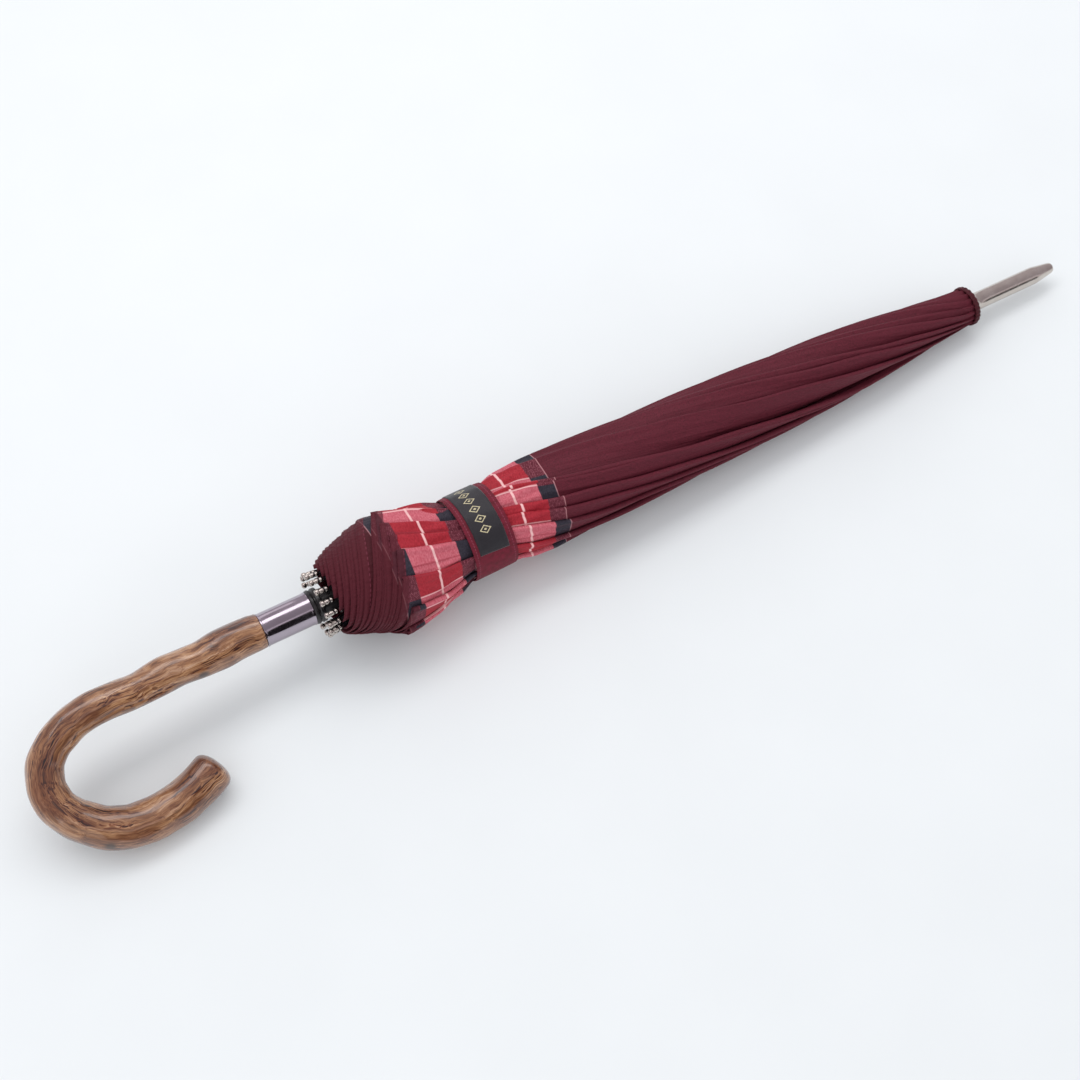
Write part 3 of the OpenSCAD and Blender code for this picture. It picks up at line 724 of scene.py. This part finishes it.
# The satin's floats slant across it, 0.7 mm apart in each direction.
floats = add(satin, "Math", over, round_about, operation="ADD")
floats = add(satin, "Math", floats, 9.0, operation="MULTIPLY")
floats = add(satin, "Math", floats, operation="SINE")
floats = add(satin, "Math", floats, 0.15, operation="MULTIPLY")
relief = add(satin, "Math", motif, floats, operation="ADD")
broken = add(satin, "TexNoise", place, Scale=2.4, Detail=2.0)
ground = add(satin, "ValToRGB", broken, stops=[(0.35, "#17141A"), (0.7, "#2B272E")])
gold = add(satin, "ValToRGB", broken, stops=[(0.35, "#8E8062"), (0.6, "#D8CBA6")])
add(satin, "Mix", data_type="RGBA", at={0: motif, 6: ground, 7: gold}, to=shader.inputs["Base Color"])
add(satin, "Bump", Height=relief, Strength=0.6, Distance=0.0002, to=shader.inputs["Normal"])
shader.inputs["Roughness"].default_value = 0.5
shader.inputs["Sheen Weight"].default_value = 0.25
shader.inputs["Sheen Roughness"].default_value = 0.3
dress(label, satin)
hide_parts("label")

# ---- Table, light and camera -----------------------------------------------------------------------
# A pale, faintly mottled table top of matt paper, in a pale room. A long soft light hangs overhead, with a
# weaker one low in front and one behind.
table_mesh = bpy.data.meshes.new("table_top")
table_mesh.from_pydata([(-9, -9, 0), (9, -9, 0), (9, 9, 0), (-9, 9, 0)], [], [(0, 1, 2, 3)])
table_top = bpy.data.objects.new("table_top", table_mesh)
bpy.context.scene.collection.objects.link(table_top)
paper, shader = finish_named("matt_white_paper")
place = add(paper, "TexCoord").outputs["Object"]
fibres = add(paper, "TexNoise", place, Scale=9.0, Detail=3.0)
add(paper, "ValToRGB", fibres, stops=[(0.3, "#DEE0E2"), (0.7, "#E0E2E4")], to=shader.inputs["Base Color"])
shader.inputs["Roughness"].default_value = 0.9
shader.inputs["Specular IOR Level"].default_value = 0.2
table_mesh.materials.append(paper)

scene = bpy.context.scene
world = bpy.data.worlds.new("studio")
world.use_nodes = True
scene.world = world
# Pale walls fill the shadows. What shines shows the room itself: grey behind and overhead, and dark in
# front up to a bright strip at the edge of the ceiling.
way = add(world, "TexCoord").outputs["Generated"]
toward_back = add(world, "SeparateXYZ", way).outputs["Y"]
forward = add(world, "MapRange", toward_back, -1.0, 1.0, 0.0, 1.0)
room = add(world, "ValToRGB", forward, stops=[(0.0, "#1E1A1D"), (0.13, "#1E1A1D"), (0.155, "#F0E8EE"),
                                              (0.18, "#F0E8EE"), (0.21, "#A199A0"), (1.0, "#C2BAC0")])
shining = add(world, "LightPath").outputs["Is Glossy Ray"]
background = world.node_tree.nodes["Background"]
add(world, "Mix", data_type="RGBA", at={0: shining, 6: "#F4F6F8", 7: room}, to=background.inputs["Color"])
background.inputs["Strength"].default_value = 1.07
for name, place, target, long, wide, watts in (
        ("overhead", (0.0, 0.6, 1.5), (0, 0, 0), 2.0, 0.6, 9.0),
        ("front", (-1.3, -1.2, 0.6), (-0.2, 0, 0), 0.9, 0.9, 2.2),
        ("far", (0.6, 1.7, 0.7), (0.1, 0, 0), 1.2, 0.6, 1.5)):
    lamp = bpy.data.lights.new(name, "AREA")
    lamp.shape, lamp.size, lamp.size_y, lamp.energy = "RECTANGLE", long, wide, watts
    stand = bpy.data.objects.new(name, lamp)
    stand.location = place
    stand.rotation_euler = (Vector(target) - Vector(place)).to_track_quat("-Z", "Y").to_euler()
    scene.collection.objects.link(stand)

# A 57 mm lens looks down at 60 degrees, 30 degrees to the right of the Y axis. The wood's end is
# 1.145 m ahead of it, 188 mm left of the middle of its view and 61 mm below.
LEFT, BELOW, AHEAD = 0.1878, 0.0612, 1.1450
camera_data = bpy.data.cameras.new("camera")
camera_data.sensor_width, camera_data.lens = 36.0, 56.67
camera_data.clip_start, camera_data.clip_end = 0.05, 20.0
camera = bpy.data.objects.new("camera", camera_data)
heading, elevation, bank = np.radians([-29.70, 60.18, -0.13])
level = np.array([-np.sin(heading), np.cos(heading), 0])
right = np.array([np.cos(heading), np.sin(heading), 0])
look = np.cos(elevation) * level - np.array([0, 0, np.sin(elevation)])
above = np.sin(elevation) * level + np.array([0, 0, np.cos(elevation)])
right, above = (right * np.cos(bank) + above * np.sin(bank), above * np.cos(bank) - right * np.sin(bank))
camera_at = wood_end + LEFT * right + BELOW * above - AHEAD * look
turned_to = np.column_stack([right, above, -look, camera_at])
camera.matrix_world = Matrix([*turned_to.tolist(), [0, 0, 0, 1]])
scene.collection.objects.link(camera)
scene.camera = camera
scene.view_settings.view_transform = "Standard"
